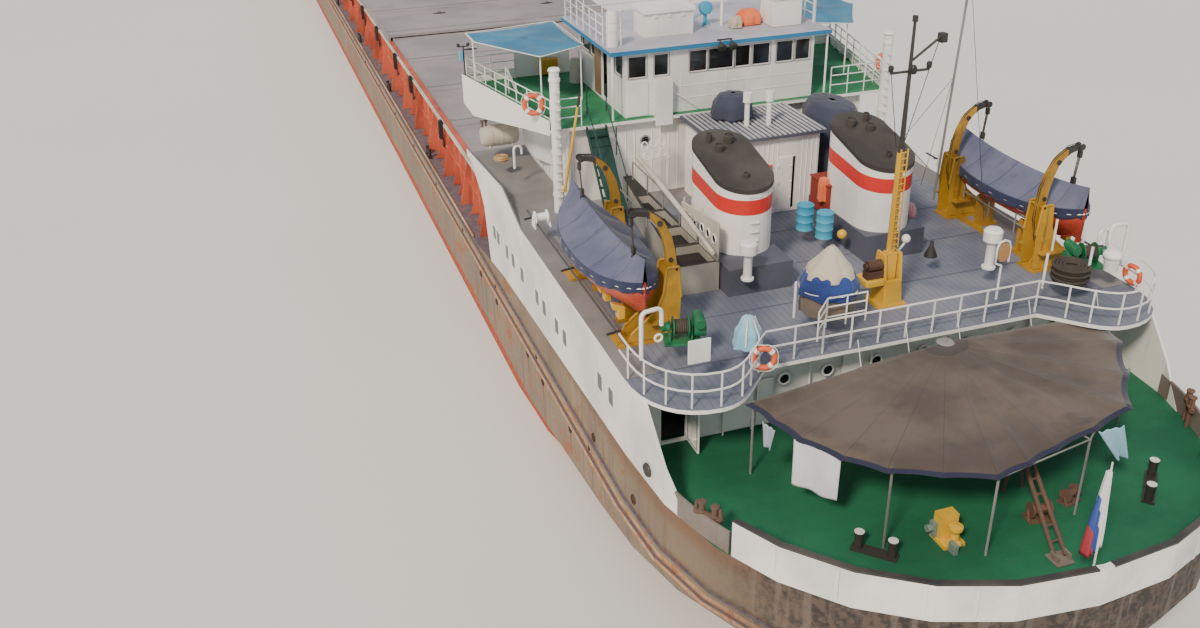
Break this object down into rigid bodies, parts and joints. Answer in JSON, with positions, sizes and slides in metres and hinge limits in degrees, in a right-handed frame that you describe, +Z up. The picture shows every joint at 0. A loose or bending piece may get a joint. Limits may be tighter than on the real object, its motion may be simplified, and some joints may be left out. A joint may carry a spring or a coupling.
{
  "type": "self-propelled river cargo ship, 1:10 scale model",
  "caption": "Long, shallow river cargo ship as a scale model, with sliding hatch covers, a house aft with bridge wings, boats in davits, folding masts and steered screw nozzles.",
  "frame": {"origin": "amidships on the centreline, on the flat bottom of the hull", "axes": "+X towards the bow, +Y to port, +Z up"},
  "size_m": [13.88, 1.67, 1.815],
  "materials": {
    "hull_paint": "weathered paint with rust",
    "primer_red": "red primer with rust",
    "hatch_grey": "warm grey paint, worn",
    "white_paint": "white paint, semi-gloss",
    "deck_blue_grey": "matt deck paint",
    "deck_green": "worn green deck paint",
    "dark_green": "dark green paint",
    "ochre_paint": "ochre paint",
    "yellow_paint": "yellow paint",
    "black_paint": "black paint",
    "cream_paint": "cream paint",
    "trunk_grey": "dark blue-grey paint",
    "engine_grey": "grey enamel",
    "boat_orange": "orange moulded hull",
    "boat_canvas": "blue-grey canvas",
    "awning_brown": "brown-grey canvas",
    "awning_blue": "teal canvas",
    "screw_bronze": "cast bronze, polished blades"
  },
  "bodies": {
    "ship": {"hull": "hull_paint", "main_engines": "engine_grey", "forecastle": "primer_red", "stern_bulwark": "white_paint", "hatch_coaming": "primer_red", "quarter_house": "white_paint", "poop_deck": "deck_blue_grey", "poop_rail": "white_paint", "upper_house": "white_paint", "bridge_deck": "deck_green", "wing_awning_port": "awning_blue", "wing_awning_starboard": "awning_blue", "wheelhouse": "white_paint", "wheelhouse_roof": "white_paint", "kingpost_port": "white_paint", "kingpost_starboard": "white_paint", "stairs_port": "dark_green", "engine_casing": "white_paint", "casing_roof": "hatch_grey", "funnel_port": "white_paint", "funnel_starboard": "white_paint", "trunk_port": "trunk_grey", "trunk_starboard": "trunk_grey", "skylight": "cream_paint", "mast_tabernacle": "yellow_paint", "davit_bed_port": "ochre_paint", "davit_bed_starboard": "ochre_paint", "aft_awning": "awning_brown", "awning_frame": "cream_paint", "capstan_base": "yellow_paint", "bollards_port": "black_paint", "bollards_starboard": "black_paint", "windlass": "black_paint", "anchor_port": "black_paint", "anchor_starboard": "black_paint"},
    "hatch_cover_1": {"hatch_cover_1": "hatch_grey"},
    "hatch_cover_2": {"hatch_cover_2": "hatch_grey"},
    "hatch_cover_3": {"hatch_cover_3": "hatch_grey"},
    "hatch_cover_4": {"hatch_cover_4": "hatch_grey"},
    "house_door": {"house_door": "white_paint"},
    "radar_scanner": {"radar_scanner": "white_paint"},
    "derrick_boom": {"derrick_boom": "yellow_paint"},
    "skylight_lid_1": {"skylight_lid_1": "cream_paint"},
    "skylight_lid_2": {"skylight_lid_2": "cream_paint"},
    "mast": {"mast": "yellow_paint"},
    "foremast": {"foremast": "white_paint"},
    "capstan_drum": {"capstan_drum": "yellow_paint"},
    "screw_port": {"screw_port": "screw_bronze"},
    "screw_starboard": {"screw_starboard": "screw_bronze"},
    "nozzle_port": {"nozzle_port": "hull_paint"},
    "nozzle_starboard": {"nozzle_starboard": "hull_paint"},
    "rudder": {"rudder": "hull_paint"},
    "davits_port": {"davit_arm_port_aft": "ochre_paint", "davit_arm_port_fore": "ochre_paint"},
    "boat_port": {"boat_port": "boat_orange", "boat_cover_port": "boat_canvas"},
    "davits_starboard": {"davit_arm_starboard_aft": "ochre_paint", "davit_arm_starboard_fore": "ochre_paint"},
    "boat_starboard": {"boat_starboard": "boat_orange", "boat_cover_starboard": "boat_canvas"}
  },
  "joints": [
    {"name": "cover_1_slide", "type": "slide", "parent": "ship", "child": "hatch_cover_1", "axis": [1, 0, 0], "range_m": [0, 2.48]},
    {"name": "cover_2_slide", "type": "slide", "parent": "ship", "child": "hatch_cover_2", "axis": [1, 0, 0], "range_m": [-2.48, 0]},
    {"name": "cover_3_slide", "type": "slide", "parent": "ship", "child": "hatch_cover_3", "axis": [1, 0, 0], "range_m": [0, 2.18]},
    {"name": "cover_4_slide", "type": "slide", "parent": "ship", "child": "hatch_cover_4", "axis": [1, 0, 0], "range_m": [-2.18, 0]},
    {"name": "mast_fold", "type": "hinge", "parent": "ship", "child": "mast", "pos_m": [-5.85, -0.062, 1.1], "axis": [0, -1, 0], "range_deg": [0, 88]},
    {"name": "foremast_fold", "type": "hinge", "parent": "ship", "child": "foremast", "pos_m": [5.94, 0, 0.87], "axis": [0, -1, 0], "range_deg": [0, 86]},
    {"name": "davits_port_swing", "type": "hinge", "parent": "ship", "child": "davits_port", "pos_m": [-5.565, 0.675, 0.99], "axis": [-1, 0, 0], "range_deg": [0, 50]},
    {"name": "boat_port_level", "type": "hinge", "parent": "davits_port", "child": "boat_port", "pos_m": [-5.565, 0.736, 1.343], "axis": [-1, 0, 0], "range_deg": [-50, 0]},
    {"name": "davits_starboard_swing", "type": "hinge", "parent": "ship", "child": "davits_starboard", "pos_m": [-5.565, -0.675, 0.99], "axis": [1, 0, 0], "range_deg": [0, 50]},
    {"name": "boat_starboard_level", "type": "hinge", "parent": "davits_starboard", "child": "boat_starboard", "pos_m": [-5.565, -0.736, 1.343], "axis": [1, 0, 0], "range_deg": [-50, 0]},
    {"name": "derrick_boom_luff", "type": "hinge", "parent": "ship", "child": "derrick_boom", "pos_m": [-4.832, 0.64, 1.044], "axis": [-1, 0, 0], "range_deg": [0, 70]},
    {"name": "skylight_lid_1_hinge", "type": "hinge", "parent": "ship", "child": "skylight_lid_1", "pos_m": [-5.515, 0.379, 1.0483], "axis": [-1, 0, 0], "range_deg": [0, 90]},
    {"name": "skylight_lid_2_hinge", "type": "hinge", "parent": "ship", "child": "skylight_lid_2", "pos_m": [-5.365, 0.379, 1.0483], "axis": [-1, 0, 0], "range_deg": [0, 90]},
    {"name": "house_door_hinge", "type": "hinge", "parent": "ship", "child": "house_door", "pos_m": [-5.986, 0.638, 0.8], "axis": [0, 0, 1], "range_deg": [-90, 0]},
    {"name": "capstan_spin", "type": "hinge", "parent": "ship", "child": "capstan_drum", "pos_m": [-6.645, 0.195, 0.734], "axis": [0, 0, 1], "continuous": true},
    {"name": "radar_spin", "type": "hinge", "parent": "ship", "child": "radar_scanner", "pos_m": [-4.42, 0, 1.755], "axis": [0, 0, 1], "continuous": true},
    {"name": "screw_port_spin", "type": "hinge", "parent": "ship", "child": "screw_port", "pos_m": [-6.29, 0.33, 0.115], "axis": [1, 0, 0], "continuous": true},
    {"name": "screw_starboard_spin", "type": "hinge", "parent": "ship", "child": "screw_starboard", "pos_m": [-6.29, -0.33, 0.115], "axis": [1, 0, 0], "continuous": true},
    {"name": "nozzle_port_steer", "type": "hinge", "parent": "ship", "child": "nozzle_port", "pos_m": [-6.29, 0.33, 0.115], "axis": [0, 0, 1], "range_deg": [-35, 35]},
    {"name": "nozzle_starboard_steer", "type": "hinge", "parent": "ship", "child": "nozzle_starboard", "pos_m": [-6.29, -0.33, 0.115], "axis": [0, 0, 1], "range_deg": [-35, 35]},
    {"name": "rudder_steer", "type": "hinge", "parent": "ship", "child": "rudder", "pos_m": [-6.35, 0, 0.15], "axis": [0, 0, 1], "range_deg": [-35, 35]}
  ],
  "couplings": [
    {"joint": "boat_port_level", "follows": "davits_port_swing", "ratio": -1},
    {"joint": "boat_starboard_level", "follows": "davits_starboard_swing", "ratio": -1},
    {"joint": "nozzle_starboard_steer", "follows": "nozzle_port_steer", "ratio": 1},
    {"joint": "rudder_steer", "follows": "nozzle_port_steer", "ratio": 1}
  ]
}
